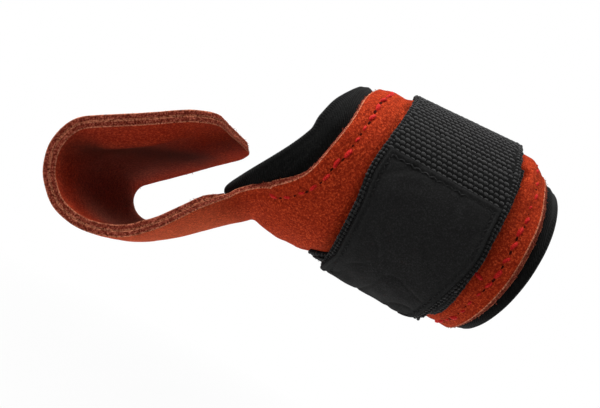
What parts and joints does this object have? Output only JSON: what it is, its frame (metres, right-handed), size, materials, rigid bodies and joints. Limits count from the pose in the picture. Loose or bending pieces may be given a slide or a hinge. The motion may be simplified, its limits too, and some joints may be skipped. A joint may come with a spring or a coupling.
{
  "type": "hand grip",
  "caption": "Suede hand grip: padded wrist wrap closed by a hook-and-loop webbing strap, with a two-ply leather palm flap curled for a bar.",
  "frame": {"origin": "middle of the wrist opening, at half the strap width", "axes": "+X along the forearm toward the elbow, +Y toward the little finger, +Z to the back of the hand"},
  "size_m": [0.1888, 0.0838, 0.1161],
  "materials": {
    "lining_jersey": "fine knit, matte",
    "pad_foam": "closed-cell foam, sealed inside the cover",
    "cover_jersey": "fine ribbed jersey, matte",
    "suede": "suede nap, raw cut edges",
    "webbing": "coarse basket weave webbing",
    "loop_tape": "brushed loops",
    "hook_tape": "moulded hooks",
    "patch": "smooth coated cloth, bare"
  },
  "bodies": {
    "cuff": {"pad_lining": "lining_jersey", "pad_foam": "pad_foam", "pad_cover": "cover_jersey", "wrist_panel": "suede", "strap_base": "webbing", "loop_tape": "loop_tape"},
    "strap_tail": {"tail_webbing": "webbing", "hook_tape": "hook_tape", "end_patch": "patch"},
    "flap_base": {"base_outer_ply": "suede", "base_inner_ply": "suede"},
    "flap_curl": {"curl_outer_ply": "suede", "curl_inner_ply": "suede"},
    "flap_tip": {"tip_outer_ply": "suede", "tip_inner_ply": "suede"}
  },
  "joints": [
    {"name": "tail_peel", "type": "hinge", "parent": "cuff", "child": "strap_tail", "pos_m": [0, -0.04154, 0.01678], "axis": [-1, 0, 0], "range_deg": [0, 100]},
    {"name": "flap_swing", "type": "hinge", "parent": "cuff", "child": "flap_base", "pos_m": [-0.0599, 0, -0.0378], "axis": [0, -1, 0], "range_deg": [0, 40], "stiffness_Nm_per_rad": 0.15, "springref_deg": -20.05},
    {"name": "curl_lower", "type": "hinge", "parent": "flap_base", "child": "flap_curl", "pos_m": [-0.10882, 0, -0.07404], "axis": [-0.1376, -0.9889, -0.0552], "range_deg": [0, 65], "stiffness_Nm_per_rad": 0.08, "springref_deg": -17.19},
    {"name": "curl_upper", "type": "hinge", "parent": "flap_curl", "child": "flap_tip", "pos_m": [-0.13301, 0, -0.05758], "axis": [-0.2901, -0.9529, 0.0886], "range_deg": [0, 65], "stiffness_Nm_per_rad": 0.05, "springref_deg": -17.19}
  ],
  "couplings": [
    {"joint": "curl_upper", "follows": "curl_lower", "ratio": 1}
  ]
}
